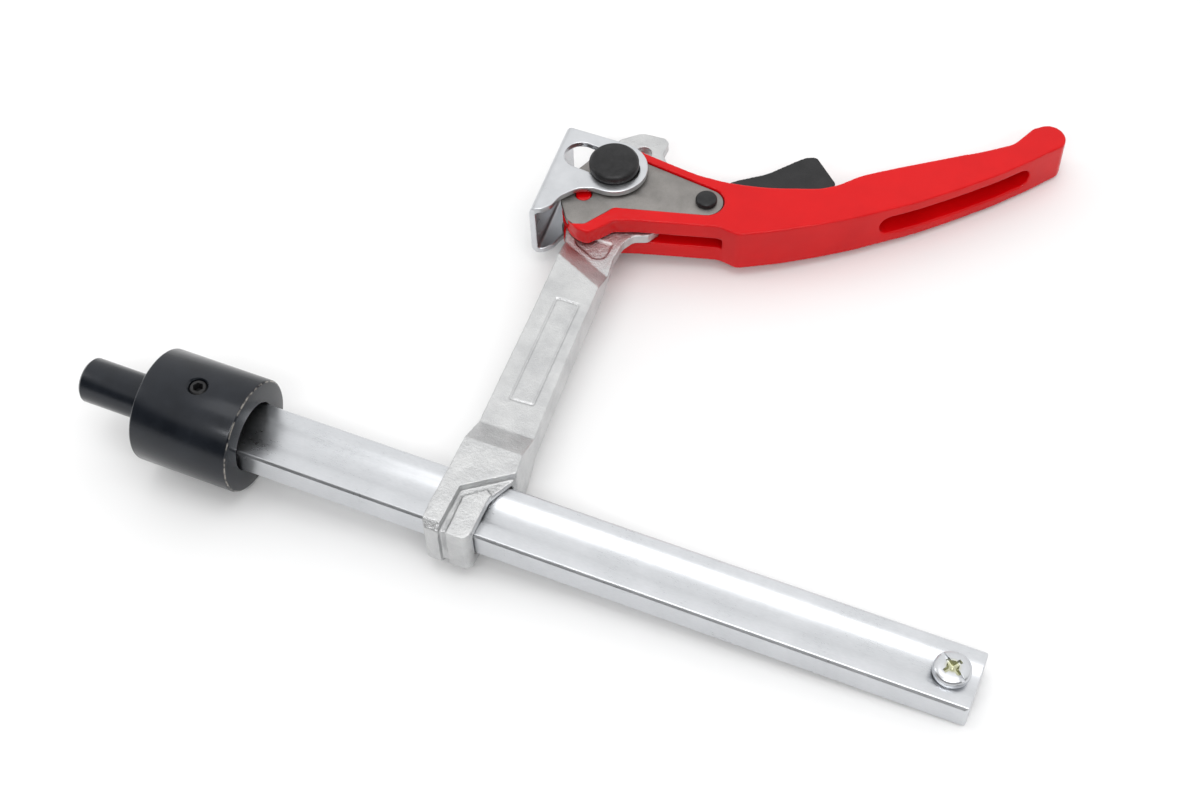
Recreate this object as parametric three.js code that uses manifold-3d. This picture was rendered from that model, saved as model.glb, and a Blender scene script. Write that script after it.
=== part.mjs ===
// Ratchet lever hold-down clamp: a flat bar in a turned 16 mm table adapter, with a sliding arm
// that carries a ratchet lever, two cam plates and a U-shaped pressure plate.
// Millimetres, +Z up. The origin is the centre of the adapter's free spigot end; the bar runs
// along +X and the arm along +Y, so the clamp lies flat on its side.
import * as THREE from 'three';
import { mergeVertices } from 'three/addons/utils/BufferGeometryUtils.js';
import Module from 'manifold-3d';

const wasm = await Module();
wasm.setup();

// ---- driving dimensions ----
const GAP = 0.3; // running clearance between neighbouring pieces
const SPIGOT = { length: 28, radius: 8, chamfer: 1 };
const COLLAR = { length: 37, radius: 20, chamfer: 0.7, bore: 12.1, boreDepth: 30 };
const BAR = { end: 318, width: 22, thick: 11, chamfer: 0.9, floor: 2.25, slope: 3.5, groove: 1.2 };
const SET_SCREW = { x: 47, radius: 3, top: 19.3, socket: 1.73, socketDepth: 3.2 };
const STOP_SCREW = { x: 309.2, radius: 6.1, head: 3.4, shank: 2.9, length: 7.6, slot: 0.65 };
const PIVOT = { x: 135.3, y: 148.3 }; // big rivet, measured from the bar axis
const PIVOT_PIN = { shank: 5.8, head: 9.1, inner: 12.5, top: 16, bottom: 15.5, chamfer: 1.1 };
const PAWL_PIN = { x: 36.3, y: -0.7, shank: 2.3, head: 3.9, inner: 9.1, top: 11.2, chamfer: 0.6 };
const EYE = { ridge: 11.4, block: 9.5, base: 8.3, left: 0.4, right: 17.2, bottom: -16.6 };
const BODY_HALF = 5.5; // half thickness of the arm's shank
const HEAD_HALF = 2; // half thickness of the arm's head plate
const STEP = { angle: -25.4, low: 95.5, high: 102.8 }; // slanted step from shank to head plate
const RECESS = 0.4; // depth of the forged panels on the arm
const SECTOR = { tip: 24, root: 22.7, from: -12, pitch: 5.3, count: 11 };
const SHEET = { outer: 12.2, inner: 9.8, web: -23.2, thick: 2.4, bend: 2.8, bendIn: 0.8,
  lean: 4.37, slotLean: -4 };
const EYELET = 12.3; // rounded end of the pressure plate's flanges
const CAM = { inner: 5.8, outer: 8.8, pocket: 5.5, hole: 3.2, holeX: -6.5, holeY: -13.4 };
const LEVER = { half: 9.5, tipHalf: 8.5, fork: 2.5, forkEnd: 46.2, well: 6.5 };
const GRIP_SLOT = { x: 118.9, y: 39.6, angle: 46.4, length: 62, half: 4.3, depth: 8 };
const TRIGGER_HALF = 6.1;
const SPRING = { x: 66.8, y: 5.5, angle: 121, radius: 2.6, wire: 0.45, turns: 4, length: 5 };
const ARC_STEP = 0.24; // radians per facet on rounded corners

// ---- materials ----
const finish = (color, roughness, metalness) =>
  new THREE.MeshStandardMaterial({ color, roughness, metalness });
const ZINC = finish('#c9cdd1', 0.32, 0.9);
const FORGED = finish('#c3c4c2', 0.42, 0.85);
const STEEL = finish('#94908a', 0.5, 0.8);
const BLACK_OXIDE = finish('#2f3236', 0.4, 0.5);
const BLACK_RIVET = finish('#3a3b3d', 0.55, 0.4);
const RED_PAINT = finish('#e0202c', 0.25, 0.05);
const BLACK_PLASTIC = finish('#232325', 0.6, 0);

// ---- outline helpers ----
const turn = (degrees) => THREE.MathUtils.degToRad(degrees);

// Points of an arc about (x, y), angles in degrees.
function arc(x, y, radius, from, to) {
  const steps = Math.max(2, Math.ceil(Math.abs(turn(to - from)) / ARC_STEP));
  return Array.from({ length: steps + 1 }, (_, i) => {
    const a = turn(from + ((to - from) * i) / steps);
    return [x + radius * Math.cos(a), y + radius * Math.sin(a)];
  });
}

// A closed outline of [x, y, fillet] corners.
function outline(corners) {
  return corners.flatMap(([x, y, fillet = 0], i) => {
    const here = new THREE.Vector2(x, y);
    if (!fillet) return [here];
    const toward = ([u, v]) => new THREE.Vector2(u, v).sub(here).normalize();
    const back = toward(corners.at(i - 1));
    const ahead = toward(corners[(i + 1) % corners.length]);
    const half = Math.acos(back.dot(ahead)) / 2;
    const middle = back.clone().add(ahead).normalize();
    const centre = here.clone().addScaledVector(middle, fillet / Math.sin(half));
    const start = here.clone().addScaledVector(back, fillet / Math.tan(half));
    const sweep = -Math.sign(back.cross(ahead)) * (Math.PI - 2 * half);
    const steps = Math.max(1, Math.ceil(Math.abs(sweep) / ARC_STEP));
    return Array.from({ length: steps + 1 }, (_, k) =>
      start.clone().rotateAround(centre, (sweep * k) / steps));
  });
}

// The same corners pushed outwards by a clearance.
function grown(corners, clearance) {
  const points = outline(corners);
  const side = Math.sign(THREE.ShapeUtils.area(points)) * clearance;
  return points.map((here, i) => {
    const before = here.clone().sub(points.at(i - 1)).normalize();
    const after = points[(i + 1) % points.length].clone().sub(here).normalize();
    const along = before.add(after).normalize();
    const scale = side / Math.max(0.7, Math.abs(along.dot(after)));
    return [here.x + along.y * scale, here.y - along.x * scale];
  });
}

// ---- solid helpers ----
function solid(geometry) {
  const bare = geometry.clone();
  bare.deleteAttribute('normal');
  bare.deleteAttribute('uv');
  const merged = mergeVertices(bare, 1e-4);
  const index = merged.index.array;
  const triVerts = [];
  for (let i = 0; i < index.length; i += 3) {
    const [a, b, c] = index.slice(i, i + 3);
    if (a !== b && b !== c && c !== a) triVerts.push(a, b, c);
  }
  const vertProperties = merged.attributes.position.array;
  return new wasm.Manifold(new wasm.Mesh({
    numProp: 3, vertProperties, triVerts: Uint32Array.from(triVerts) }));
}

function extrude(corners, from, to, basis = null) {
  const depth = to - from;
  const shape = new THREE.Shape(outline(corners));
  const geometry = new THREE.ExtrudeGeometry(shape, { depth, bevelEnabled: false });
  geometry.translate(0, 0, from);
  if (basis) geometry.applyMatrix4(basis);
  return solid(geometry);
}

const X = new THREE.Vector3(1, 0, 0);
const Y = new THREE.Vector3(0, 1, 0);
const Z = new THREE.Vector3(0, 0, 1);
const ALONG_X = new THREE.Matrix4().makeBasis(Y, Z, X); // section drawn in (y, z)
const ALONG_Y = new THREE.Matrix4().makeBasis(X, Z, Y.clone().negate()); // drawn in (x, z)

const slab = (corners, half) => extrude(corners, -half, half);
const block = (x0, x1, y0, y1, z0, z1) =>
  extrude([[x0, y0], [x1, y0], [x1, y1], [x0, y1]], z0, z1);
const atPivot = (body) => body.translate([PIVOT.x, PIVOT.y, 0]);
const mirrored = (body) => body.mirror([0, 0, 1]);

// A turned piece along Z from a profile of [radius, height] points, lowest first.
function turned(profile, segments = 40) {
  const points = profile.map(([radius, height]) => new THREE.Vector2(radius, height));
  return solid(new THREE.LatheGeometry(points, segments).rotateX(Math.PI / 2));
}

const rod = (x, y, radius, z0, z1, segments = 40) =>
  turned([[0, z0], [radius, z0], [radius, z1], [0, z1]], segments).translate([x, y, 0]);

// ---- assembly ----
const group = new THREE.Group();
group.name = 'hold_down_lever_clamp';

function add(name, body, material) {
  const { vertProperties, triVerts } = body.getMesh();
  const indexed = new THREE.BufferGeometry();
  indexed.setAttribute('position', new THREE.BufferAttribute(vertProperties, 3));
  indexed.setIndex(new THREE.BufferAttribute(triVerts, 1));
  const geometry = indexed.toNonIndexed();
  geometry.computeVertexNormals();
  const mesh = new THREE.Mesh(geometry, material);
  mesh.name = name;
  group.add(mesh);
}

// Adapter: spigot and collar turned in one piece, with a blind bore for the bar's end.
{
  const { length: s, radius: r, chamfer: c } = SPIGOT;
  const end = s + COLLAR.length;
  const k = COLLAR.chamfer;
  const R = COLLAR.radius;
  const floor = end - COLLAR.boreDepth;
  const profile = [[0, 0], [r - c, 0], [r, c], [r, s], [R - k, s], [R, s + k], [R, end - k],
    [R - k, end], [COLLAR.bore, end], [COLLAR.bore, floor], [0, floor]];
  const blank = turned(profile, 64).rotate([0, 90, 0]);
  const hole = rod(SET_SCREW.x, 0, SET_SCREW.radius + GAP, 0, R + 1, 24);
  add('adapter', blank.subtract(hole), BLACK_OXIDE);
}

// Set screw: threaded in from the top of the collar, its tip on the bar's groove.
{
  const tip = BAR.thick / 2 - BAR.groove + GAP;
  const { x, radius, top, socket, socketDepth } = SET_SCREW;
  const hex = rod(x, 0, socket, top - socketDepth, top + 1, 6);
  add('set_screw', rod(x, 0, radius, tip, top, 24).subtract(hex), BLACK_OXIDE);
}

// Bar: flat section with a shallow rolled groove in both broad faces.
{
  const start = SPIGOT.length + COLLAR.length - COLLAR.boreDepth + 1;
  const w = BAR.width / 2;
  const t = BAR.thick / 2;
  const edge = BAR.floor + BAR.slope;
  const c = BAR.chamfer;
  const side = [[w, t - c], [w - c, t], [edge, t], [BAR.floor, t - BAR.groove]];
  const upper = [...side, ...side.map(([y, z]) => [-y, z]).reverse()];
  const section = [...upper, ...upper.map(([y, z]) => [-y, -z])];
  const rail = extrude(section, start, BAR.end, ALONG_X);
  const plan = [[start, -w], [BAR.end, -w, 1.6], [BAR.end, w, 1.6], [start, w]];
  const hole = rod(STOP_SCREW.x, 0, STOP_SCREW.shank + GAP, -w, w, 24);
  add('bar', rail.intersect(slab(plan, w)).subtract(hole), ZINC);
}

// End-stop screw: pan head with a cross and a slot, on the bar's free end.
{
  const { x, radius, head, shank, length, slot } = STOP_SCREW;
  const seat = BAR.thick / 2 + GAP;
  const top = seat + head;
  const profile = [[0, seat - length], [shank, seat - length], [shank, seat], [radius, seat],
    [radius, seat + 1.7], [radius - 0.5, top - 0.8], [radius - 1.6, top - 0.2],
    [radius - 3, top], [0, top]];
  const deep = top - 2;
  const cross = block(-slot, slot, -3.4, 3.4, deep, top + 1)
    .add(block(-3.4, 3.4, -slot, slot, deep, top + 1));
  const groove = block(-radius - 1, radius + 1, -slot, slot, top - 1.1, top + 1);
  const recess = cross.add(groove).rotate([0, 0, -38]).translate([x, 0, 0]);
  add('end_stop_screw', turned(profile).translate([x, 0, 0]).subtract(recess), ZINC);
}

// Sliding arm: forged in one piece, x from the pivot and y from the bar axis.
{
  const headY = PIVOT.y;
  const polar = (radius, angle) =>
    [radius * Math.cos(turn(angle)), headY + radius * Math.sin(turn(angle))];
  const teeth = Array.from({ length: SECTOR.count }, (_, i) => {
    const at = SECTOR.from + i * SECTOR.pitch;
    return [polar(SECTOR.root, at), polar(SECTOR.tip, at + 0.5)];
  }).flat();
  const sectorEnd = SECTOR.from + SECTOR.count * SECTOR.pitch;
  const plan = [
    [EYE.left, EYE.bottom, 4], [EYE.right, EYE.bottom, 5], [16.7, 2.5, 6], [21.8, 13, 2],
    [20.9, 20], [18.9, 41], [17.2, 60], [15.7, 80], [14.6, 98], [14.3, 108], [13.1, 115.5, 6],
    [13.4, 123.5, 6], [15.8, 128.2, 3], [20.4, 130, 2], [23, 134.4, 1.5],
    ...teeth, polar(SECTOR.root, sectorEnd), polar(SECTOR.root - 0.4, sectorEnd + 4),
    [10.8, 169.4], [10.8, 175.6, 1.5], [8.5, 177.1], [0.8, 176.6], [-1.3, 175.6], [-3.5, 173.7],
    [-7, 170.3, 2], [-9, 164], [-12, 155, 6], [-12.4, 142, 6], [-10, 128, 8], [-6.3, 116.2],
    [-4.7, 105], [-3.2, 82], [-2, 59], [-0.5, 32], [-0.1, 20]];
  const side = (z) => [[-16.8, 6 * z], [-15.6, 9 * z], [-13.2, EYE.ridge * z],
    [20.2, EYE.ridge * z, 3], [31, BODY_HALF * z, 3], [190, BODY_HALF * z]];
  const profile = [...side(-1), ...side(1).reverse()];
  const blank = slab(plan, EYE.ridge + 1).intersect(extrude(profile, -60, 60, ALONG_X));

  // the eye: everything below the ridge is lowered, then the low block is put back
  const ridge = [[-9, -30], [7, -30], [6.7, 1.7], [21.7, 12.9], [40, 14], [40, 200], [-90, 200]];
  const low = [[8.6, -0.2], [14.8, 5.1], [17.6, 3], [17.6, -30], [9.4, -30], [9.2, -13.7]];
  const eyeZone = block(-9, 40, -30, 22, -30, 30);
  const kept = slab(ridge, 30).add(slab(low, EYE.block)).add(block(-9, 40, -30, 22,
    -EYE.base, EYE.base));
  const eye = blank.intersect(eyeZone).intersect(kept);
  let arm = eye.add(blank.subtract(block(-9, 40, -30, 21.9, -30, 30)))
    .subtract(block(9.2, 40, -30, -15.6, -12, 12))
    .subtract(block(7, 9.3, -30, -14.9, -12, 12));

  // slanted step down to the head plate, both sides
  const wedge = extrude([[STEP.low, BODY_HALF + 0.01], [STEP.high, HEAD_HALF], [300, HEAD_HALF],
    [300, 30], [STEP.low, 30]], -90, 90, ALONG_X).rotate([0, 0, STEP.angle]);
  arm = arm.subtract(wedge).subtract(mirrored(wedge));

  // forged panels, both sides
  const panel = extrude([[2.1, 89.7, 1], [4.8, 43, 1], [14.2, 43.4, 1], [11.4, 89.7, 1]],
    BODY_HALF - RECESS, 9);
  const pad = extrude([[-4, 122], [-2.6, 117.4, 2], [6.5, 112.9, 3], [10.2, 114.6, 3],
    [10.4, 122]], HEAD_HALF - RECESS, 5);
  arm = arm.subtract(panel).subtract(mirrored(panel)).subtract(pad).subtract(mirrored(pad));

  const window = extrude([[-11.35, -5.85, 0.8], [11.35, -5.85, 0.8], [11.35, 5.85, 0.8],
    [-11.35, 5.85, 0.8]], -60, 60, ALONG_X);
  arm = arm.subtract(window)
    .subtract(rod(0, headY, PIVOT_PIN.shank + GAP, -9, 9))
    .subtract(rod(3.8, 167.3, 3, -9, 9, 28));
  add('sliding_arm', arm.translate([PIVOT.x, 0, 0]), FORGED);
}

// A rivet along Z with two chamfered heads.
function rivet({ shank, head, inner, top, bottom = top, chamfer }) {
  return turned([[0, -bottom], [head - chamfer, -bottom], [head, chamfer - bottom],
    [head, -inner], [shank, -inner], [shank, inner], [head, inner], [head, top - chamfer],
    [head - chamfer, top], [0, top]]);
}

add('pivot_pin', atPivot(rivet(PIVOT_PIN)), BLACK_RIVET);
add('pawl_pin', atPivot(rivet(PAWL_PIN).translate([PAWL_PIN.x, PAWL_PIN.y, 0])), BLACK_RIVET);

// Pressure plate: sheet folded to a U, with a long slot in both flanges.
{
  const { outer, inner, web, thick, bend, bendIn, lean, slotLean } = SHEET;
  const inside = web + thick;
  const section = [[web, -outer, bend], [20, -outer], [20, -inner], [inside, -inner, bendIn],
    [inside, inner, bendIn], [20, inner], [20, outer], [web, outer, bend]];
  const fold = extrude(section, -30, 40, ALONG_Y).rotate([0, 0, lean]);
  const plan = [[web - 1, -29.7], [-19, -29.6, 3], [-16.6, -28.6, 3], [-14, -25.5, 4],
    [-12.9, -20.6, 8], [-8.3, -14.3, 8], [-3, -12.3, 4],
    ...arc(0, 0, EYELET, -85, 90), [web - 3, EYELET]];
  const r = PIVOT_PIN.shank + GAP;
  const slot = [...arc(-13.6, 0, r, 90, 270), ...arc(3.3, 0, r, -90, 90)];
  const opening = slab(slot, 30).rotate([0, 0, slotLean]);
  add('pressure_plate', atPivot(fold.intersect(slab(plan, 30)).subtract(opening)), ZINC);
}

// Cam plates: sheet steel on both cheeks of the lever, in shallow pockets.
const CAM_PLAN = [
  [-13.7, -18.3, 3], [-8, -26.3, 2], [-4.6, -28, 2], [-0.4, -26.2, 2], [6.2, -15.4, 3],
  ...arc(PAWL_PIN.x, PAWL_PIN.y, 6.2, -73, 79), ...arc(0, 0, 9.9, 76, 92),
  ...arc(0, 0, 11.4, 112, 172), [-13.3, -3.5, 3]];
{
  const plate = extrude(CAM_PLAN, CAM.inner, CAM.outer)
    .subtract(rod(0, 0, PIVOT_PIN.shank + GAP, 0, 20))
    .subtract(rod(PAWL_PIN.x, PAWL_PIN.y, PAWL_PIN.shank + GAP, 0, 20, 20))
    .subtract(rod(CAM.holeX, CAM.holeY, CAM.hole, 0, 20, 24));
  add('cam_plate_top', atPivot(plate), STEEL);
  add('cam_plate_bottom', atPivot(mirrored(plate)), STEEL);
}

// Trigger and pawl outlines, from the pivot.
const PAWL_PLAN = [
  [22.1, 10.4], [24.2, 6.4], [31.2, -1.8, 3], ...arc(PAWL_PIN.x, PAWL_PIN.y, 4.6, 200, 325),
  [47, 5.6, 4], [60.5, 15.5, 1.2], [58.6, 18.5, 1.2], [44.5, 10.6, 5], [33, 8.2, 5],
  [24.6, 11.8]];
const TRIGGER_PLAN = [
  [39.6, 13.4, 1], [44, 9.6, 2], [61, 12.4, 8], [76.4, 20, 2], [76, 27.6, 1], [65.4, 37.2, 1.5],
  [61.8, 35.6, 3], [51.4, 22.4, 12]];

// Lever: cast, forked at the front, with cam pockets, a trigger well and a grip slot.
{
  const plan = [
    ...arc(0, 0, 11, 104, 178), [-12.6, -6, 4], [-13, -15, 4], [-10.8, -23.4, 4],
    [-6.4, -27.8, 4], [-1.9, -30.2, 3], [2, -30.2, 2], [5.2, -26.6, 3], [8.6, -21.7, 3],
    [16.5, -18.6, 20], [44.9, -10.5, 6], [52.6, -11.6, 4], [66.2, -3.9, 60], [78.6, 4.4, 60],
    [90, 12.8, 60], [106.5, 26.6, 60], [118.6, 38.4, 60], [130.6, 51.2, 60], [140.3, 63.2, 40],
    ...arc(142.3, 75.7, 6.1, -20, 128), [135.6, 78, 5], [131.2, 67.8, 9], [122.4, 60.6, 40],
    [94.2, 39.9, 60], [84, 31.6, 14], [77.7, 24.2, 12], [72.4, 20.2, 14], [55.1, 13.7, 60],
    [40.8, 10.5, 50], [28.3, 10.1, 40], [15.2, 11.7, 20], [3.6, 13.3, 1.5]];
  const taper = extrude([[-60, -LEVER.half], [70, -LEVER.half], [150, -LEVER.tipHalf],
    [150, LEVER.tipHalf], [70, LEVER.half], [-60, LEVER.half]], -90, 90, ALONG_Y);
  const well = [[38.6, 7.6], [43.6, 3.4, 2], [48, 0, 3], [60, 1, 6], [79, 12.5, 3],
    [79, 60], [38.6, 60]];
  const { x, y, angle, length, half, depth } = GRIP_SLOT;
  const flat = length / 2 - half;
  const stadium = [...arc(flat, 0, half, -90, 90), ...arc(-flat, 0, half, 90, 270)];
  const along = X.clone().applyAxisAngle(Z, turn(angle));
  const out = along.clone().cross(Z);
  const frame = new THREE.Matrix4().makeBasis(along, Z, out).setPosition(x, y, 0);
  const pocket = extrude(grown(CAM_PLAN, GAP), CAM.pocket, 20);
  const boss = rod(CAM.holeX, CAM.holeY, CAM.hole - GAP, LEVER.fork + 1, CAM.outer - 0.4, 24);
  const lever = slab(plan, LEVER.half + 1).intersect(taper)
    .subtract(pocket).subtract(mirrored(pocket)).add(boss).add(mirrored(boss))
    .subtract(block(-40, LEVER.forkEnd, -60, 60, -LEVER.fork, LEVER.fork))
    .subtract(slab(well, LEVER.well))
    .subtract(extrude(stadium, -depth, 30, frame))
    .subtract(rod(0, 0, PIVOT_PIN.shank + GAP, -20, 20))
    .subtract(rod(PAWL_PIN.x, PAWL_PIN.y, PAWL_PIN.shank + GAP, -20, 20, 20));
  add('lever', atPivot(lever), RED_PAINT);
}

// Ratchet pawl: turns on the pawl pin inside the fork, its tail in the trigger.
{
  const pawl = slab(PAWL_PLAN, HEAD_HALF)
    .subtract(rod(PAWL_PIN.x, PAWL_PIN.y, PAWL_PIN.shank + GAP, -20, 20, 20));
  add('ratchet_pawl', atPivot(pawl), STEEL);
}

// Trigger: finger piece standing out of the lever's back.
add('trigger', atPivot(slab(TRIGGER_PLAN, TRIGGER_HALF)
  .subtract(slab(grown(PAWL_PLAN, GAP), HEAD_HALF + GAP))), BLACK_PLASTIC);

// Trigger spring: a small coil between the well's floor and the trigger.
{
  const { x, y, angle, radius, wire, turns, length } = SPRING;
  const perTurn = 14;
  const sides = 6;
  const rings = turns * perTurn;
  const vertices = [];
  const faces = [];
  for (let i = 0; i <= rings; i += 1) {
    const a = (2 * Math.PI * i) / perTurn;
    for (let j = 0; j < sides; j += 1) {
      const b = (2 * Math.PI * j) / sides;
      const r = radius + wire * Math.cos(b);
      const rise = ((length - 2 * wire) * i) / rings + wire + wire * Math.sin(b);
      vertices.push(r * Math.cos(a), r * Math.sin(a), rise);
      if (i === rings) continue;
      const [p, q] = [i * sides + j, i * sides + ((j + 1) % sides)];
      faces.push(p, p + sides, q, q, p + sides, q + sides);
    }
  }
  for (let j = 1; j < sides - 1; j += 1) {
    const last = rings * sides;
    faces.push(0, j, j + 1, last, last + j + 1, last + j);
  }
  const coil = new THREE.BufferGeometry();
  coil.setAttribute('position', new THREE.Float32BufferAttribute(vertices, 3));
  coil.setIndex(faces);
  coil.rotateY(Math.PI / 2).rotateZ(turn(angle)).translate(x, y, 0);
  add('trigger_spring', atPivot(solid(coil)), STEEL);
}

export default group;
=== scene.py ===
"""Looks of the ratchet lever hold-down clamp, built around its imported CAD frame.

Pieces are drawn in millimetres in the row frame (+X along the bar, +Y along the arm, +Z up) and
scaled to metres when they are placed. Outlines of the clamp's head are measured from the pivot.
"""
import math

import bmesh
import bpy
from mathutils import Matrix, Vector, noise


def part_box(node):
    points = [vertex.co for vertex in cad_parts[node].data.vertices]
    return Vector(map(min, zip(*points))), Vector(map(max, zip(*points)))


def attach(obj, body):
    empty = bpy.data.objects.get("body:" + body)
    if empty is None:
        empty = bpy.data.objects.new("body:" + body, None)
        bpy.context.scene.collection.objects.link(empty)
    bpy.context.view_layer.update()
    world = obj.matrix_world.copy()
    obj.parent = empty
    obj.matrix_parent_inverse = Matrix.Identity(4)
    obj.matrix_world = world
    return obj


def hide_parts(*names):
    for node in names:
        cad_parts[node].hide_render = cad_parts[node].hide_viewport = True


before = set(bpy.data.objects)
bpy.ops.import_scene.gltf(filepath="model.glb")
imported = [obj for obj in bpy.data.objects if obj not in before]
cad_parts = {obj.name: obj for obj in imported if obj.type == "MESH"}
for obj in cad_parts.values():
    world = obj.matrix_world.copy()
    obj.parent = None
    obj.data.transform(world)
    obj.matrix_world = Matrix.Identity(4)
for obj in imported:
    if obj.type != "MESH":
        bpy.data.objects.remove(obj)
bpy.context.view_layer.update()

MM = 0.001
ARC_STEP = math.radians(7)


# ---------------------------------------------------------------- places taken from the frame
def centre(node):
    low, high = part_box(node)
    return [(a + b) / 2 / MM for a, b in zip(low, high)]


def span(node, axis):
    low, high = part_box(node)
    return low[axis] / MM, high[axis] / MM


PIVOT = Vector((*centre("pivot_pin")[:2], 0))
PAWL_AT = Vector((*centre("pawl_pin")[:2], 0)) - PIVOT
BAR_START, BAR_END = span("bar", 0)
BAR_WIDTH = span("bar", 1)[1] * 2
BAR_THICK = span("bar", 2)[1] * 2
COLLAR_END = span("adapter", 0)[1]
COLLAR_RADIUS = span("adapter", 2)[1]
SET_X = centre("set_screw")[0]
STOP_X = centre("end_stop_screw")[0]
LEVER_HALF = span("lever", 2)[1]
SHEET_HALF = span("pressure_plate", 2)[1]
CAM_LOW, CAM_HIGH = span("cam_plate_top", 2)
ARM_RIDGE = span("sliding_arm", 2)[1]

GAP = 0.3
SHANK = 5.8  # big rivet
BODY_HALF = 5.5  # half thickness of the arm's shank
HEAD_HALF = 2.0  # half thickness of the arm's head plate
FORK = 2.5  # half width of the lever's fork


# ---------------------------------------------------------------- outlines
def arc(x, y, radius, start, end):
    """Points of an arc about (x, y), angles in degrees."""
    steps = max(2, math.ceil(abs(math.radians(end - start)) / ARC_STEP))
    angles = [math.radians(start + (end - start) * i / steps) for i in range(steps + 1)]
    return [(x + radius * math.cos(a), y + radius * math.sin(a)) for a in angles]


def outline(corners):
    """A closed outline of (x, y) or (x, y, fillet) corners, as 2-D points."""
    points = []
    for i, corner in enumerate(corners):
        here = Vector(corner[:2])
        fillet = corner[2] if len(corner) > 2 else 0
        if not fillet:
            points.append(here)
            continue
        back = (Vector(corners[i - 1][:2]) - here).normalized()
        ahead = (Vector(corners[(i + 1) % len(corners)][:2]) - here).normalized()
        half = math.acos(max(-1, min(1, back.dot(ahead)))) / 2
        hub = here + (back + ahead).normalized() * (fillet / math.sin(half))
        start = here + back * (fillet / math.tan(half)) - hub
        sweep = -math.copysign(math.pi - 2 * half, back.cross(ahead))
        steps = max(1, math.ceil(abs(sweep) / ARC_STEP))
        for k in range(steps + 1):
            points.append(hub + Matrix.Rotation(sweep * k / steps, 2) @ start)
    return points


def signed_area(points):
    return sum(a.cross(b) for a, b in zip(points, points[1:] + points[:1])) / 2


def grown(corners, clearance):
    """The same outline pushed outwards by a clearance."""
    points = outline(corners)
    push = math.copysign(clearance, signed_area(points))
    result = []
    for i, here in enumerate(points):
        before = (here - points[i - 1]).normalized()
        after = (points[(i + 1) % len(points)] - here).normalized()
        along = (before + after).normalized()
        reach = push / max(0.7, abs(along.dot(after)))
        result.append((here.x + along.y * reach, here.y - along.x * reach))
    return result


def circle(x, y, radius):
    return arc(x, y, radius, 0, 360)[:-1]


# ---------------------------------------------------------------- solids, in millimetres
ALONG_X = Matrix(((0, 0, 1, 0), (1, 0, 0, 0), (0, 1, 0, 0), (0, 0, 0, 1)))  # drawn in (y, z)
ALONG_Y = Matrix(((1, 0, 0, 0), (0, 0, -1, 0), (0, 1, 0, 0), (0, 0, 0, 1)))  # drawn in (x, z)


def new_object(name, mesh):
    obj = bpy.data.objects.new(name, mesh)
    bpy.context.scene.collection.objects.link(obj)
    return obj


def from_bmesh(name, bm, basis=None):
    bmesh.ops.recalc_face_normals(bm, faces=bm.faces)
    mesh = bpy.data.meshes.new(name)
    bm.to_mesh(mesh)
    bm.free()
    if basis:
        mesh.transform(basis)
    return new_object(name, mesh)


def prism(corners, low, high, basis=None):
    """A sharp-edged extrusion, used as a blank or a cutter."""
    bm = bmesh.new()
    points = outline(corners)
    rings = [[bm.verts.new((p.x, p.y, z)) for p in points] for z in (low, high)]
    caps = [bm.faces.new(rings[0][::-1]), bm.faces.new(rings[1])]
    for i in range(len(points)):
        bm.faces.new((rings[0][i - 1], rings[0][i], rings[1][i], rings[1][i - 1]))
    bmesh.ops.triangulate(bm, faces=caps, ngon_method="EAR_CLIP")
    return from_bmesh("blank", bm, basis)


def slab(corners, half):
    return prism(corners, -half, half)


def block(x0, x1, y0, y1, z0, z1):
    return prism([(x0, y0), (x1, y0), (x1, y1), (x0, y1)], z0, z1)


def turned(profile, segments=96, basis=None):
    """A turned piece about Z from a profile of (radius, height) points."""
    bm = bmesh.new()
    rings = []
    for radius, height in profile:
        if radius == 0:
            rings.append([bm.verts.new((0, 0, height))])
            continue
        turns = [2 * math.pi * i / segments for i in range(segments)]
        rings.append([bm.verts.new((radius * math.cos(a), radius * math.sin(a), height))
                      for a in turns])
    for lower, upper in zip(rings, rings[1:]):
        for i in range(segments):
            corner = [lower[i - 1 if len(lower) > 1 else 0], lower[i if len(lower) > 1 else 0],
                      upper[i if len(upper) > 1 else 0], upper[i - 1 if len(upper) > 1 else 0]]
            face = list(dict.fromkeys(corner))
            if len(face) > 2:
                bm.faces.new(face)
    return from_bmesh("turned", bm, basis)


def rod(x, y, radius, low, high, segments=64):
    obj = turned([(0, low), (radius, low), (radius, high), (0, high)], segments)
    obj.data.transform(Matrix.Translation((x, y, 0)))
    return obj


def plate(loops, low, high, edge, basis=None):
    """A plate with rounded edges from an outer outline and holes."""
    curve = bpy.data.curves.new("plate", "CURVE")
    curve.dimensions = "2D"
    curve.fill_mode = "BOTH"
    curve.extrude = (high - low) / 2 - edge
    curve.bevel_depth = edge
    curve.bevel_resolution = 2
    curve.offset = -edge
    for loop in loops:
        points = outline(loop)
        if signed_area(points) < 0:
            points.reverse()
        spline = curve.splines.new("POLY")
        spline.points.add(len(points) - 1)
        for target, point in zip(spline.points, points):
            target.co = (point.x, point.y, 0, 1)
        spline.use_cyclic_u = True
    obj = applied(new_object("plate", curve))
    bm = bmesh.new()
    bm.from_mesh(obj.data)
    bmesh.ops.remove_doubles(bm, verts=bm.verts, dist=0.004)
    bmesh.ops.translate(bm, verts=bm.verts, vec=(0, 0, (low + high) / 2))
    bpy.data.objects.remove(obj)
    return from_bmesh("plate", bm, basis)


def applied(obj):
    """obj as a plain mesh with its modifiers applied."""
    bpy.context.view_layer.update()
    mesh = bpy.data.meshes.new_from_object(obj.evaluated_get(
        bpy.context.evaluated_depsgraph_get()))
    if obj.type == "MESH":
        obj.modifiers.clear()
        obj.data = mesh
        return obj
    result = new_object(obj.name, mesh)
    bpy.data.objects.remove(obj)
    return result


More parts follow.
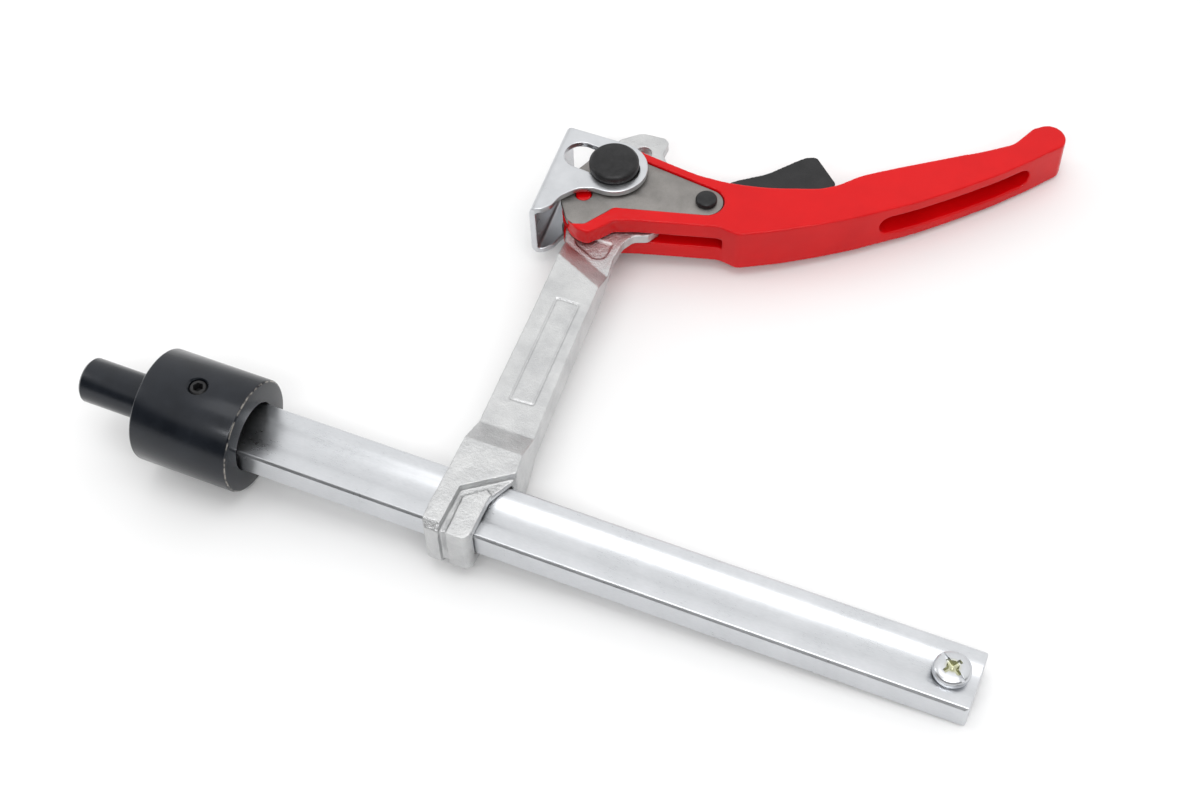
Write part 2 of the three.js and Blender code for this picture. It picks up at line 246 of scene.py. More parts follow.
def combine(obj, operation, others, solver="EXACT"):
    for other in others:
        modifier = obj.modifiers.new("boolean", "BOOLEAN")
        modifier.operation = operation
        modifier.solver = solver
        modifier.object = other
        obj = applied(obj)
        bpy.data.objects.remove(other)
    return obj


def cut(obj, *others):
    return combine(obj, "DIFFERENCE", others)


def join(obj, *others):
    return combine(obj, "UNION", others)


def meet(obj, *others):
    return combine(obj, "INTERSECT", others)


def both_sides(obj):
    """obj and its mirror image in the clamp's middle plane."""
    twin = new_object("twin", obj.data.copy())
    twin.data.transform(Matrix.Scale(-1, 4, (0, 0, 1)))
    twin.data.flip_normals()
    return obj, twin


def soften(obj, voxel, rounds):
    """Rounds every edge a little, as casting, forging and plating do."""
    remesh = obj.modifiers.new("remesh", "REMESH")
    remesh.mode = "VOXEL"
    remesh.voxel_size = voxel
    smooth = obj.modifiers.new("smooth", "SMOOTH")
    smooth.factor = 0.5
    smooth.iterations = rounds
    return applied(obj)


def ripple(obj, depth):
    """Moves each point along its normal by depth(point), in millimetres."""
    mesh = obj.data
    offsets = [vertex.normal * depth(vertex.co) for vertex in mesh.vertices]
    for vertex, offset in zip(mesh.vertices, offsets):
        vertex.co += offset
    return obj


def at_pivot(obj):
    obj.data.transform(Matrix.Translation(PIVOT))
    return obj


def place(obj, name, body, node, material, smooth_angle=32):
    """Scales a finished piece to metres and ties it to its CAD body and node."""
    obj.data.transform(Matrix.Scale(MM, 4))
    obj.name = obj.data.name = name
    obj.data.shade_smooth()
    obj.data.set_sharp_from_angle(angle=math.radians(smooth_angle))
    obj.data.materials.clear()
    obj.data.materials.append(material)
    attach(obj, body)
    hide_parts(node)
    return obj


# ---------------------------------------------------------------- materials
class Surface:
    """A Principled material whose details are worked out in millimetres of the row frame."""

    def __init__(self, name, **sockets):
        self.material = bpy.data.materials.new(name)
        self.material.use_nodes = True
        self.tree = self.material.node_tree
        self.shader = self.tree.nodes["Principled BSDF"]
        for socket, value in sockets.items():
            self.shader.inputs[socket.replace("_", " ")].default_value = value
        place_node = self.tree.nodes.new("ShaderNodeTexCoord")
        scale = self.tree.nodes.new("ShaderNodeVectorMath")
        scale.operation = "SCALE"
        scale.inputs["Scale"].default_value = 1 / MM
        self.tree.links.new(place_node.outputs["Object"], scale.inputs[0])
        self.at = scale.outputs[0]

    def node(self, kind, inputs, output=0, **settings):
        node = self.tree.nodes.new(kind)
        for key, value in settings.items():
            setattr(node, key, value)
        for key, value in inputs.items():
            if isinstance(value, bpy.types.NodeSocket):
                self.tree.links.new(value, node.inputs[key])
            else:
                node.inputs[key].default_value = value
        return node.outputs[output]

    def math(self, operation, a, b=0.0, clamp=False):
        return self.node("ShaderNodeMath", {0: a, 1: b}, operation=operation, use_clamp=clamp)

    def stretched(self, x, y, z):
        return self.node("ShaderNodeVectorMath", {0: self.at, 1: (x, y, z)},
                         operation="MULTIPLY")

    def cloud(self, size, detail=3.0, roughness=0.5, at=None):
        return self.node("ShaderNodeTexNoise", {
            "Vector": at or self.at, "Scale": 1 / size, "Detail": detail,
            "Roughness": roughness})

    def cells(self, size):
        return self.node("ShaderNodeTexVoronoi", {"Vector": self.at, "Scale": 1 / size})

    def remap(self, value, low, high, to_low=0.0, to_high=1.0):
        return self.node("ShaderNodeMapRange", {
            "Value": value, "From Min": low, "From Max": high, "To Min": to_low,
            "To Max": to_high})

    def mix(self, amount, first, second):
        node = self.tree.nodes.new("ShaderNodeMix")
        node.data_type = "RGBA"
        for key, value in ((0, amount), (6, first), (7, second)):
            if isinstance(value, bpy.types.NodeSocket):
                self.tree.links.new(value, node.inputs[key])
            else:
                node.inputs[key].default_value = value
        return node.outputs[2]

    def axis(self, name):
        return self.node("ShaderNodeSeparateXYZ", {0: self.at}, output=name)

    def bump(self, height, depth, strength=1.0, under=None):
        inputs = {"Height": height, "Distance": depth * MM, "Strength": strength}
        if under is not None:
            inputs["Normal"] = under
        return self.node("ShaderNodeBump", inputs)

    def set(self, socket, value):
        self.tree.links.new(value, self.shader.inputs[socket])


def zinc(name, brush, grain=0.0, tinted=None):
    """Bright zinc plate with fine lines along brush, a scale for each axis.

    tinted is the (x, y, z) centre of a recess whose plating has a yellow tinge.
    """
    s = Surface(name, Metallic=1.0)
    lines = s.cloud(1.0, 2.0, at=s.stretched(*brush))
    blotch = s.cloud(14.0, 4.0, 0.6)
    tone = s.remap(s.math("ADD", blotch, s.math("MULTIPLY", lines, 0.5)), 0.55, 0.95)
    base = s.mix(tone, (0.585, 0.60, 0.62, 1), (0.655, 0.668, 0.69, 1))
    if tinted:
        away = s.node("ShaderNodeVectorMath", {0: s.at, 1: tinted}, output="Value",
                      operation="DISTANCE")
        base = s.mix(s.remap(away, 2.4, 3.6, 0.8, 0.0), base, (0.50, 0.50, 0.30, 1))
    s.set("Base Color", base)
    s.set("Roughness", s.remap(s.math("ADD", lines, blotch), 0.7, 1.3, 0.27, 0.32))
    normal = s.bump(s.cloud(0.5, 1.0), 0.002)
    if grain:
        normal = s.bump(s.cloud(0.7, 3.0), grain, under=normal)
    s.set("Normal", normal)
    return s.material


def forged_zinc():
    """Zinc over a forged surface: pitted on the sloping faces, smoother on the shank."""
    s = Surface("forged_zinc", Metallic=1.0)
    pits = s.cloud(0.9, 4.0, 0.65)
    fine = s.cloud(0.35, 2.0)
    blotch = s.cloud(9.0, 4.0, 0.6)
    y = s.axis("Y")
    rough_zone = s.math("ADD", s.remap(y, 26, 34, 1.0, 0.5), s.remap(y, 104, 112, 0.0, 0.6))
    relief = s.math("ADD", s.math("MULTIPLY", pits, rough_zone), s.math("MULTIPLY", fine, 0.4))
    s.set("Base Color", s.mix(s.remap(blotch, 0.35, 0.65), (0.52, 0.525, 0.53, 1),
                              (0.63, 0.635, 0.635, 1)))
    s.set("Roughness", s.remap(s.math("ADD", pits, blotch), 0.7, 1.3, 0.3, 0.4))
    s.set("Normal", s.bump(relief, 0.26))
    return s.material


def plain_steel():
    """Bare sheet steel, brownish grey with a fine grain."""
    s = Surface("plain_steel", Metallic=0.85)
    blotch = s.cloud(5.0, 5.0, 0.6)
    grain = s.cloud(0.3, 3.0, 0.6)
    tone = s.remap(s.math("ADD", blotch, s.math("MULTIPLY", grain, 0.6)), 0.5, 1.1)
    s.set("Base Color", s.mix(tone, (0.22, 0.21, 0.20, 1), (0.33, 0.315, 0.30, 1)))
    s.set("Roughness", s.remap(blotch, 0.3, 0.7, 0.42, 0.55))
    s.set("Normal", s.bump(grain, 0.05))
    return s.material


def black_oxide():
    """Turned and blackened steel with fine tool lines and worn bright rims."""
    s = Surface("black_oxide", Metallic=0.3)
    x = s.axis("X")
    lines = s.cloud(1.0, 3.0, at=s.stretched(4.0, 0.02, 0.02))
    blotch = s.cloud(8.0, 4.0, 0.6)
    yz = s.node("ShaderNodeCombineXYZ", {0: 0.0, 1: s.axis("Y"), 2: s.axis("Z")})
    radius = s.node("ShaderNodeVectorMath", {0: yz}, output="Value", operation="LENGTH")
    rim = s.math("MULTIPLY", s.remap(radius, COLLAR_RADIUS - 0.8, COLLAR_RADIUS - 0.4),
                 s.remap(x, COLLAR_END - 0.55, COLLAR_END - 0.2))
    worn = s.math("MULTIPLY", rim, s.remap(s.cloud(2.5, 3.0), 0.42, 0.6))
    base = s.mix(s.remap(blotch, 0.3, 0.7), (0.006, 0.008, 0.012, 1), (0.012, 0.015, 0.021, 1))
    s.set("Base Color", s.mix(worn, base, (0.32, 0.30, 0.27, 1)))
    s.set("Roughness", s.remap(s.math("ADD", lines, blotch), 0.7, 1.3, 0.18, 0.27))
    s.set("Normal", s.bump(lines, 0.006))
    return s.material


def black_rivet():
    """Blackened rivet steel with a dull, slightly mottled face."""
    s = Surface("black_rivet", Metallic=0.4)
    blotch = s.cloud(3.0, 4.0, 0.6)
    grain = s.cloud(0.4, 3.0)
    s.set("Base Color", s.mix(s.remap(blotch, 0.3, 0.7), (0.010, 0.010, 0.011, 1),
                              (0.022, 0.022, 0.023, 1)))
    s.set("Roughness", s.remap(grain, 0.3, 0.7, 0.32, 0.46))
    s.set("Normal", s.bump(grain, 0.03))
    return s.material


def red_paint():
    """Glossy paint over a slightly uneven casting."""
    s = Surface("red_paint", Coat_Weight=0.4, Coat_Roughness=0.06, Specular_IOR_Level=0.05)
    peel = s.cloud(2.2, 2.0)
    cast = s.cloud(7.0, 3.0)
    tone = s.remap(s.cloud(18.0, 3.0), 0.3, 0.7)
    s.set("Base Color", s.mix(tone, (0.58, 0.001, 0.003, 1), (0.66, 0.002, 0.004, 1)))
    s.set("Roughness", s.remap(peel, 0.3, 0.7, 0.3, 0.42))
    s.set("Normal", s.bump(peel, 0.012, under=s.bump(cast, 0.04)))
    return s.material


def black_plastic():
    """Matt moulded plastic with a fine grain."""
    s = Surface("black_plastic", Specular_IOR_Level=0.4)
    grain = s.cells(0.5)
    tone = s.remap(s.cloud(6.0, 3.0), 0.3, 0.7)
    s.set("Base Color", s.mix(tone, (0.010, 0.010, 0.011, 1), (0.018, 0.018, 0.019, 1)))
    s.set("Roughness", s.remap(grain, 0.0, 0.8, 0.5, 0.62))
    s.set("Normal", s.bump(grain, 0.03))
    return s.material


BAR_ZINC = zinc("bar_zinc", brush=(0.5, 2.0, 2.0))
SHEET_ZINC = zinc("sheet_zinc", brush=(0.3, 0.3, 0.3), grain=0.02)
SCREW_ZINC = zinc("screw_zinc", brush=(1.0, 1.0, 4.0),
                  tinted=(STOP_X, 0, span("end_stop_screw", 2)[1] - 2.2))
FORGED = forged_zinc()
STEEL = plain_steel()
OXIDE = black_oxide()
RIVET = black_rivet()
RED = red_paint()
PLASTIC = black_plastic()


# ---------------------------------------------------------------- bar and adapter
def bar_section():
    """Rolled section in (y, z): a shallow groove in both broad faces, eased edges."""
    w, t = BAR_WIDTH / 2, BAR_THICK / 2
    side = [(w, t - 0.9, 0.5), (w - 0.9, t, 0.6), (5.75, t, 9), (2.25, t - 1.2, 12)]
    upper = side + [(-y, z, r) for y, z, r in reversed(side)]
    return upper + [(-y, -z, r) for y, z, r in upper]


def bar():
    """The rolled section, with the corners of its free end rounded."""
    w, corner = BAR_WIDTH / 2, 1.7
    plan = [(0, -w - 1), (BAR_END, -w - 0.01, corner), (BAR_END, w + 0.01, corner), (0, w + 1)]
    return meet(plate([bar_section()], BAR_START, BAR_END, 0.35, ALONG_X), slab(plan, w))


place(bar(), "bar_body", "rail", "bar", BAR_ZINC, 24)


def adapter():
    """Spigot and collar turned about X, with a bore for the bar and a hole for the screw."""
    spigot, length, edge = 8.0, 28.0, 0.25
    r, end = COLLAR_RADIUS, COLLAR_END
    bore, floor = 12.1, COLLAR_END - 30
    profile = [(0, 0), (spigot - 1.3, 0), (spigot - 1, 0.1), (spigot - 0.1, 1),
               (spigot, 1.3), (spigot, length - 0.5), (spigot + 0.5, length),
               (r - 0.9, length), (r - 0.6, length + 0.1), (r - 0.1, length + 0.6),
               (r, length + 0.9), (r, end - 0.8), (r - 0.1, end - 0.5), (r - 0.5, end - 0.1),
               (r - 0.8, end), (bore + edge, end), (bore, end - edge), (bore, floor), (0, floor)]
    body = turned(profile, 160, Matrix.Rotation(math.pi / 2, 4, "Y"))
    hole = turned([(0, 8), (3.25, 8), (3.25, r - 0.7), (4.1, r + 0.3), (4.1, r + 4),
                   (0, r + 4)], 48)
    hole.data.transform(Matrix.Translation((SET_X, 0, 0)))
    return cut(body, hole)


place(adapter(), "adapter_body", "rail", "adapter", OXIDE)


def set_screw():
    """Screw with a hexagon socket."""
    low, high = span("set_screw", 2)
    body = turned([(0, low), (2.2, low), (3, low + 0.8), (3, high - 0.4), (2.6, high),
                   (0, high)], 48)
    socket = turned([(0, high - 3.2), (1.73, high - 3), (1.73, high - 0.3),
                     (2.0, high + 0.2), (0, high + 0.2)], 6)
    body = cut(body, socket)
    body.data.transform(Matrix.Translation((SET_X, 0, 0)))
    return body


place(set_screw(), "set_screw_body", "rail", "set_screw", RIVET)


def end_stop_screw():
    """Pan head with a combined cross and slot recess."""
    low, high = span("end_stop_screw", 2)
    seat, r = BAR_THICK / 2 + GAP - 0.25, 6.1
    profile = [(0, low), (2.5, low), (2.9, low + 0.4), (2.9, seat), (r - 0.4, seat),
               (r - 0.1, seat + 0.2), (r, seat + 0.6), (r, seat + 1.5),
               (r - 0.15, high - 1.3), (r - 0.55, high - 0.75), (r - 1.2, high - 0.35),
               (r - 2.2, high - 0.12), (r - 3.6, high - 0.02), (0, high)]
    head = turned(profile, 96)
    arm, half = 3.3, 0.75
    deep = high - 2.1
    cross = [(half, half, 0.3), (half, arm), (-half, arm), (-half, half, 0.3), (-arm, half),
             (-arm, -half), (-half, -half, 0.3), (-half, -arm), (half, -arm),
             (half, -half, 0.3), (arm, -half), (arm, half)]
    recess = prism(cross, deep, high + 1)
    groove = block(-r - 1, r + 1, -0.6, 0.6, high - 1.05, high + 1)
    cone = turned([(0, deep - 0.7), (1.9, high - 0.4), (2.2, high + 1), (0, high + 1)], 32)
    head = cut(head, recess, groove, cone)
    bevel = head.modifiers.new("bevel", "BEVEL")
    bevel.width = 0.09
    bevel.segments = 2
    bevel.angle_limit = math.radians(40)
    head = applied(head)
    head.data.transform(Matrix.Translation((STOP_X, 0, 0)) @ Matrix.Rotation(
        math.radians(-38), 4, "Z"))
    return head


place(end_stop_screw(), "end_stop_screw_body", "rail", "end_stop_screw", SCREW_ZINC)


# ---------------------------------------------------------------- sliding arm
def sliding_arm():
    """Forged arm: x from the pivot, y from the bar axis."""
    head_y = PIVOT.y
    first, pitch, count, tip, root = -12, 5.3, 11, 24, 22.7

    def polar(radius, angle):
        return (radius * math.cos(math.radians(angle)),
                head_y + radius * math.sin(math.radians(angle)))

    teeth = []
    for i in range(count):
        at = first + i * pitch
        teeth += [polar(root, at), polar(tip, at + 0.5)]
    last = first + count * pitch
    plan = [(0.4, -16.6, 4), (17.2, -16.6, 5), (16.7, 2.5, 6), (21.8, 13, 2), (20.9, 20, 8),
            (18.9, 41, 60), (17.2, 60, 60), (15.7, 80, 60), (14.6, 98, 20), (14.3, 108, 6),
            (13.1, 115.5, 6), (13.4, 123.5, 6), (15.8, 128.2, 3), (20.4, 130, 2),
            (23, 134.4, 1.5), *teeth, polar(root, last), polar(root - 0.4, last + 4),
            (10.8, 169.4), (10.8, 175.6, 1.5), (8.5, 177.1, 1), (0.8, 176.6, 1),
            (-1.3, 175.6, 1), (-3.5, 173.7, 2), (-7, 170.3, 2), (-9, 164), (-12, 155, 6),
            (-12.4, 142, 6), (-10, 128, 8), (-6.3, 116.2, 4), (-4.7, 105, 20), (-3.2, 82, 60),
            (-2, 59, 60), (-0.5, 32, 30), (-0.1, 20, 10)]
    ridge = ARM_RIDGE
    right = [(-16.8, 5.6), (-15.9, 8.9), (-13.4, ridge), (20.2, ridge), (31, BODY_HALF),
             (190, BODY_HALF)]
    profile = [(y, -z) for y, z in right] + [(y, z) for y, z in reversed(right)]
    body = meet(slab(plan, ridge + 1), prism(profile, -60, 60, ALONG_X))

    # the eye's outer face is lowered beside the ridge, leaving a low block in the middle
    base, low_block = 8.3, 9.5
    beside = [(7, -40), (6.7, 1.7), (21.7, 12.9), (60, 14), (60, -40)]
    middle = [(8.6, -0.2), (14.8, 5.1), (17.6, 3), (17.6, -40), (9.4, -40), (9.2, -13.7)]
    lowered = cut(prism(beside, base, 30), prism(middle, base - 1, low_block))
    body = cut(body, *both_sides(lowered), block(9.2, 40, -40, -15.6, -12, 12),
               block(7, 9.3, -40, -14.9, -12, 12))

    step = prism([(95.5, BODY_HALF + 0.01), (102.8, HEAD_HALF), (300, HEAD_HALF), (300, 30),
                  (95.5, 30)], -90, 90, ALONG_X)
    step.data.transform(Matrix.Rotation(math.radians(-25.4), 4, "Z"))
    body = cut(body, *both_sides(step))

    # parting line along both edges of the shank
    seam = meet(prism(grown(plan[:15] + plan[-12:], 0.55), -0.8, 0.8),
                block(-8, 40, 24, 104, -1, 1))
    body = join(body, seam)

    # long panel with an incised border, and a small pad under the lever
    panel = prism([(2.1, 89.7, 1), (4.8, 43, 1), (14.2, 43.4, 1), (11.4, 89.7, 1)],
                  BODY_HALF - 0.5, 9)
    pad = prism([(-4, 122), (-2.6, 117.4, 2), (6.5, 112.9, 3), (10.2, 114.6, 3), (10.4, 122)],
                HEAD_HALF - 0.45, 5)
    body = cut(body, *both_sides(panel), *both_sides(pad))
    plateau = prism([(3.1, 88.8, 0.5), (5.7, 43.9, 0.5), (13.2, 44.3, 0.5), (10.5, 88.8, 0.5)],
                    BODY_HALF - 1, BODY_HALF - 0.1)
    body = join(body, *both_sides(plateau))
    w, t = BAR_WIDTH / 2 + 0.35, BAR_THICK / 2 + 0.35
    window = prism([(-w, -t, 0.8), (w, -t, 0.8), (w, t, 0.8), (-w, t, 0.8)], -60, 60, ALONG_X)
    tab_hole = rod(3.8, 167.3, 3, -9, 9)
    body = cut(body, window, rod(0, head_y, SHANK + GAP, -9, 9), tab_hole)
    body = soften(body, 0.3, 4)

    # hammer marks are deeper on the eye than on the shank
    def wear(point):
        lumps = noise.noise(point * 0.25) * 0.10 + noise.noise(point * 0.9) * 0.05
        return lumps * (1.0 if point.y < 32 else 0.45)

    body = ripple(body, wear)
    body.data.transform(Matrix.Translation((PIVOT.x, 0, 0)))
    return body


place(sliding_arm(), "sliding_arm_body", "arm", "sliding_arm", FORGED, 70)


# ---------------------------------------------------------------- rivets
def rivet(shank, head, inner, low, high, chamfer):
    def cap(z, sign):
        return [(shank, sign * inner), (head - 0.25, sign * inner),
                (head, sign * (inner + 0.25)), (head, z - sign * (chamfer + 0.1)),
                (head - 0.12, z - sign * (chamfer - 0.15)),
                (head - chamfer + 0.1, z - sign * 0.06), (head - chamfer - 0.05, z),
                (0, z + sign * 0.05)]

    return turned(cap(low, -1)[::-1] + cap(high, 1), 96)


pivot_low, pivot_high = span("pivot_pin", 2)
place(at_pivot(rivet(SHANK, 9.1, 12.5, pivot_low, pivot_high, 1.1)), "pivot_rivet", "arm",
      "pivot_pin", RIVET)
pawl_low, pawl_high = span("pawl_pin", 2)
small = rivet(2.3, 3.9, CAM_HIGH + GAP, pawl_low, pawl_high, 0.6)
small.data.transform(Matrix.Translation(PAWL_AT))
place(at_pivot(small), "pawl_rivet", "lever", "pawl_pin", RIVET)


# ---------------------------------------------------------------- pressure plate
def pressure_plate():
    """Sheet folded to a U, with a long slot in both flanges."""
    web, thick, outer, lean, slot_lean = -23.2, 2.4, SHEET_HALF, 4.37, -4
    inner, inside = outer - thick, web + thick
    section = [(web, -outer, 3), (20, -outer), (20, -inner), (inside, -inner, 0.8),
               (inside, inner, 0.8), (20, inner), (20, outer), (web, outer, 3)]
    fold = prism(section, -30, 40, Matrix.Rotation(math.radians(lean), 4, "Z") @ ALONG_Y)
    plan = [(web - 1, -29.7), (-19, -29.6, 3), (-16.6, -28.6, 3), (-14, -25.5, 4),
            (-12.9, -20.6, 8), (-8.3, -14.3, 8), (-3, -12.3, 4),
            *arc(0, 0, 12.3, -85, 90), (web - 3, 12.3)]
    r = SHANK + GAP
    slot = arc(-13.6, 0, r, 90, 270) + arc(3.3, 0, r, -90, 90)
    opening = slab(slot, 30)
    opening.data.transform(Matrix.Rotation(math.radians(slot_lean), 4, "Z"))
    return soften(cut(meet(fold, slab(plan, 30)), opening), 0.25, 4)


place(at_pivot(pressure_plate()), "pressure_plate_body", "pressure_plate", "pressure_plate",
      SHEET_ZINC, 70)


# ---------------------------------------------------------------- lever and its cam plates
CAM_PLAN = [(-13.7, -18.3, 3), (-8, -26.3, 2), (-4.6, -28, 2), (-0.4, -26.2, 2), (6.2, -15.4, 3),
            *arc(*PAWL_AT.xy, 6.2, -73, 79), *arc(0, 0, 9.9, 76, 92),
            *arc(0, 0, 11.4, 112, 172), (-13.3, -3.5, 3)]
BOSS = (-6.5, -13.4)
for name, sign in (("cam_plate_top", 1), ("cam_plate_bottom", -1)):
    low, high = sorted((sign * CAM_LOW, sign * CAM_HIGH))
    cam = plate([CAM_PLAN, circle(0, 0, SHANK + GAP), circle(*BOSS, 3.2)], low, high, 0.25)
    place(at_pivot(cam), name + "_body", "lever", name, STEEL)

PAWL_PLAN = [(22.1, 10.4), (24.2, 6.4), (31.2, -1.8, 3), *arc(*PAWL_AT.xy, 4.6, 200, 325),
             (47, 5.6, 4), (60.5, 15.5, 1.2), (58.6, 18.5, 1.2), (44.5, 10.6, 5), (33, 8.2, 5),
             (24.6, 11.8)]
TRIGGER_PLAN = [(39.6, 13.4, 1), (44, 9.6, 2), (61, 12.4, 8), (76.4, 20, 2), (76, 27.6, 1.5),
                (65.4, 37.2, 1.8), (61.8, 35.6, 3), (51.4, 22.4, 12)]


def lever():
    """Red casting: forked at the front, with cam pockets, a trigger well and a grip slot."""
    plan = [*arc(0, 0, 11, 104, 178), (-12.6, -6, 4), (-13, -15, 4), (-10.8, -23.4, 4),
            (-6.4, -27.8, 4), (-1.9, -30.2, 3), (2, -30.2, 2), (5.2, -26.6, 3), (8.6, -21.7, 3),
            (16.5, -18.6, 20), (44.9, -10.5, 6), (52.6, -11.6, 4), (66.2, -3.9, 60),
            (78.6, 4.4, 60), (90, 12.8, 60), (106.5, 26.6, 60), (118.6, 38.4, 60),
            (130.6, 51.2, 60), (140.3, 63.2, 40), *arc(142.3, 75.7, 6.1, -20, 128),
            (135.6, 78, 5), (131.2, 67.8, 9), (122.4, 60.6, 40), (94.2, 39.9, 60),
            (84, 31.6, 14), (77.7, 24.2, 12), (72.4, 20.2, 14), (55.1, 13.7, 60),
            (40.8, 10.5, 50), (28.3, 10.1, 40), (15.2, 11.7, 20), (3.6, 13.3, 1.5)]
    half, tip_half = LEVER_HALF, LEVER_HALF - 1
    taper = [(-60, -half), (70, -half), (150, -tip_half), (150, tip_half), (70, half),
             (-60, half)]
    body = meet(slab(plan, half + 1), prism(taper, -90, 90, ALONG_Y))
    body = cut(body, *both_sides(prism(grown(CAM_PLAN, GAP), 5.5, 20)))
    body = join(body, *both_sides(rod(*BOSS, 2.9, FORK + 1, CAM_HIGH - 0.4)))
    well = [(38.6, 7.6), (43.6, 3.4, 2), (48, 0, 3), (60, 1, 6), (79, 12.5, 3), (79, 60),
            (38.6, 60)]
    length, slot_half, depth = 62, 4.3, 8
    flat = length / 2 - slot_half
    stadium = arc(flat, 0, slot_half, -90, 90) + arc(-flat, 0, slot_half, 90, 270)
    along = Vector((math.cos(math.radians(46.4)), math.sin(math.radians(46.4)), 0))
    out = along.cross(Vector((0, 0, 1)))
    basis = Matrix((along, (0, 0, 1), out)).transposed().to_4x4()
    grip = prism(stadium, -depth, 30, Matrix.Translation((118.9, 39.6, 0)) @ basis)
    body = cut(body, block(-40, 46.2, -60, 60, -FORK, FORK), slab(well, 6.5), grip,
               rod(0, 0, SHANK + GAP, -20, 20), rod(*PAWL_AT.xy, 2.6, -20, 20))
    body = soften(body, 0.33, 14)

    # the casting is uneven under the cam plates' noses
    def cast(point):
        nose = max(0.0, min(1.0, (-8 - point.y) / 10)) * max(0.0, min(1.0, (24 - point.x) / 10))
        return noise.noise(point * 0.22) * 0.025 + noise.noise(point * 0.4) * 0.22 * nose

    return ripple(body, cast)


place(at_pivot(lever()), "lever_body", "lever", "lever", RED, 80)


def ratchet_pawl():
    """Steel pawl on the small rivet, with a tail that reaches into the trigger."""
    return plate([PAWL_PLAN, circle(*PAWL_AT.xy, 2.6)], -HEAD_HALF, HEAD_HALF, 0.2)


place(at_pivot(ratchet_pawl()), "ratchet_pawl_body", "trigger", "ratchet_pawl",
      STEEL)


def trigger():
    """Finger piece, recessed for the pawl's tail."""
    low, high = span("trigger", 2)
    body = soften(prism(TRIGGER_PLAN, low, high), 0.3, 12)
    tail = [(30, 5), (47.2, 5), (61.2, 15), (58.8, 19.2), (44, 11.2), (30, 9)]
    return combine(body, "DIFFERENCE", [slab(tail, HEAD_HALF + GAP)], "FAST")


place(at_pivot(trigger()), "trigger_body", "trigger", "trigger", PLASTIC, 80)


def trigger_spring():
    """Small coil standing on the floor of the trigger's well."""
    radius, wire, turns, length, per_turn = 2.6, 0.45, 4, 5.0, 24
    curve = bpy.data.curves.new("coil", "CURVE")
    curve.dimensions = "3D"
    curve.bevel_depth = wire
    curve.bevel_resolution = 2
    curve.use_fill_caps = True
    spline = curve.splines.new("POLY")
    count = turns * per_turn
    spline.points.add(count)
    for i, target in enumerate(spline.points):
        angle = 2 * math.pi * i / per_turn
        rise = wire + (length - 2 * wire) * i / count
        target.co = (rise, radius * math.sin(angle), -radius * math.cos(angle), 1)
    coil = applied(new_object("coil", curve))
    coil.data.transform(Matrix.Translation((66.8, 5.5, 0)) @ Matrix.Rotation(
        math.radians(121), 4, "Z"))
    return coil


place(at_pivot(trigger_spring()), "trigger_spring_body", "lever", "trigger_spring",
      STEEL)


# ---------------------------------------------------------------- floor, light and camera
def floor():
    """The clamp lies on its collar, the bar's free end and the lever's tip: the floor leans."""
    slope = (COLLAR_RADIUS - BAR_THICK / 2) / (BAR_END - COLLAR_END)
    cross_slope = -0.009  # towards the lever's tip
    reach = 6.0  # metres
    under_collar = -(COLLAR_RADIUS + 0.1) * MM
    corners = [(-reach, -reach), (reach, -reach), (reach, reach), (-reach, reach)]
    bm = bmesh.new()
    bm.faces.new([bm.verts.new((x, y, under_collar + slope * (x - COLLAR_END * MM)
                                + cross_slope * y)) for x, y in corners])
    obj = from_bmesh("floor", bm)
    s = Surface("floor_paper", Roughness=0.9, Specular_IOR_Level=0.2)
    s.set("Base Color", s.mix(s.cloud(300.0, 2.0), (0.86, 0.86, 0.86, 1), (0.88, 0.88, 0.88, 1)))
    obj.data.materials.append(s.material)


floor()


def softbox(name, location, aim, size, power):
    """A rectangular area light, metres and watts."""
    light = bpy.data.lights.new(name, "AREA")
    light.shape = "RECTANGLE"
    light.size, light.size_y = size
    light.energy = power
    obj = bpy.data.objects.new(name, light)
    obj.location = location
    obj.rotation_euler = (Vector(aim) - Vector(location)).to_track_quat("-Z", "Y").to_euler()
    bpy.context.scene.collection.objects.link(obj)


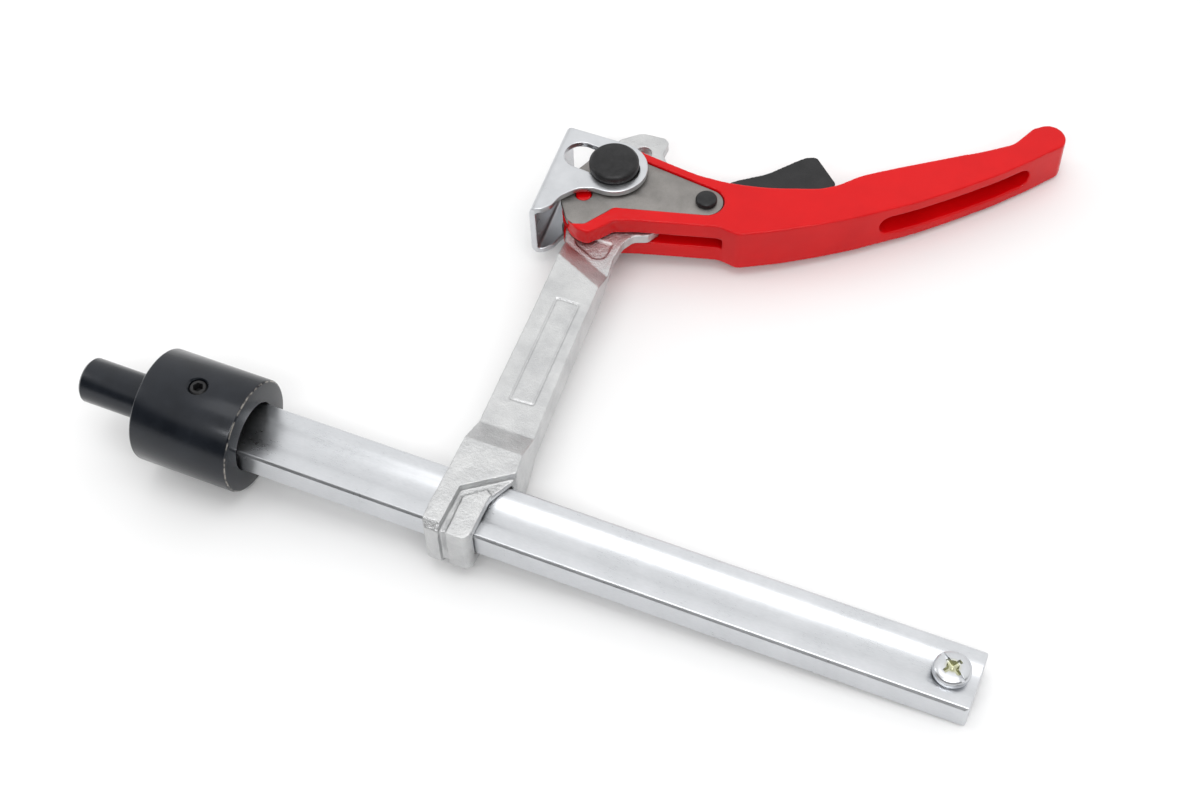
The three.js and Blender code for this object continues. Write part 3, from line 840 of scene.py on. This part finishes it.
middle = ((BAR_START + BAR_END) / 2 * MM, PIVOT.y / 2 * MM, 0)
softbox("overhead", (0.17, 0.0, 1.1), middle, (1.0, 0.5), 2.4)
softbox("side", (-1.0, -0.1, 0.5), middle, (0.4, 0.6), 2)
softbox("front", (0.45, -0.62, 0.95), middle, (1.2, 0.1), 4.5)


def studio_world():
    """A pale screen behind the clamp, and a dark band low in front that draws its edges."""
    world = bpy.data.worlds.new("studio")
    world.use_nodes = True
    tree = world.node_tree
    place_node = tree.nodes.new("ShaderNodeTexCoord")
    parts = tree.nodes.new("ShaderNodeSeparateXYZ")
    tree.links.new(place_node.outputs["Generated"], parts.inputs[0])

    def ramp(source, *stops):
        node = tree.nodes.new("ShaderNodeValToRGB")
        tree.links.new(source, node.inputs[0])
        first, last = node.color_ramp.elements
        first.position, last.position = stops[0][0], stops[-1][0]
        for at, _ in stops[1:-1]:
            node.color_ramp.elements.new(at)
        for element, (_, level) in zip(node.color_ramp.elements, stops):
            element.color = (level, level, level, 1)
        return node.outputs[0]

    back = ramp(parts.outputs["Z"], (0.0, 0.85), (0.3, 0.95), (0.5, 1.08), (0.85, 1.08),
                (0.95, 1.1))
    front = ramp(parts.outputs["Z"], (0.0, 0.85), (0.1, 0.1), (0.48, 0.1), (0.62, 0.9))
    behind = ramp(parts.outputs["Y"], (0.0, 0.0), (0.2, 1.0))
    mix = tree.nodes.new("ShaderNodeMix")
    mix.data_type = "RGBA"
    tree.links.new(behind, mix.inputs[0])
    tree.links.new(front, mix.inputs[6])
    tree.links.new(back, mix.inputs[7])
    tree.links.new(mix.outputs[2], tree.nodes["Background"].inputs["Color"])
    tree.nodes["Background"].inputs["Strength"].default_value = 1.0
    bpy.context.scene.world = world


studio_world()
bpy.context.scene.view_settings.view_transform = "Standard"

camera = bpy.data.objects.new("camera", bpy.data.cameras.new("camera"))
camera.data.lens = 60
camera.data.sensor_width = 36
camera.data.clip_start = 0.01
camera.location = (0.334, -0.3047, 0.5547)
camera.rotation_euler = [math.radians(angle) for angle in (35.7, 1.28, 22.88)]
bpy.context.scene.collection.objects.link(camera)
bpy.context.scene.camera = camera
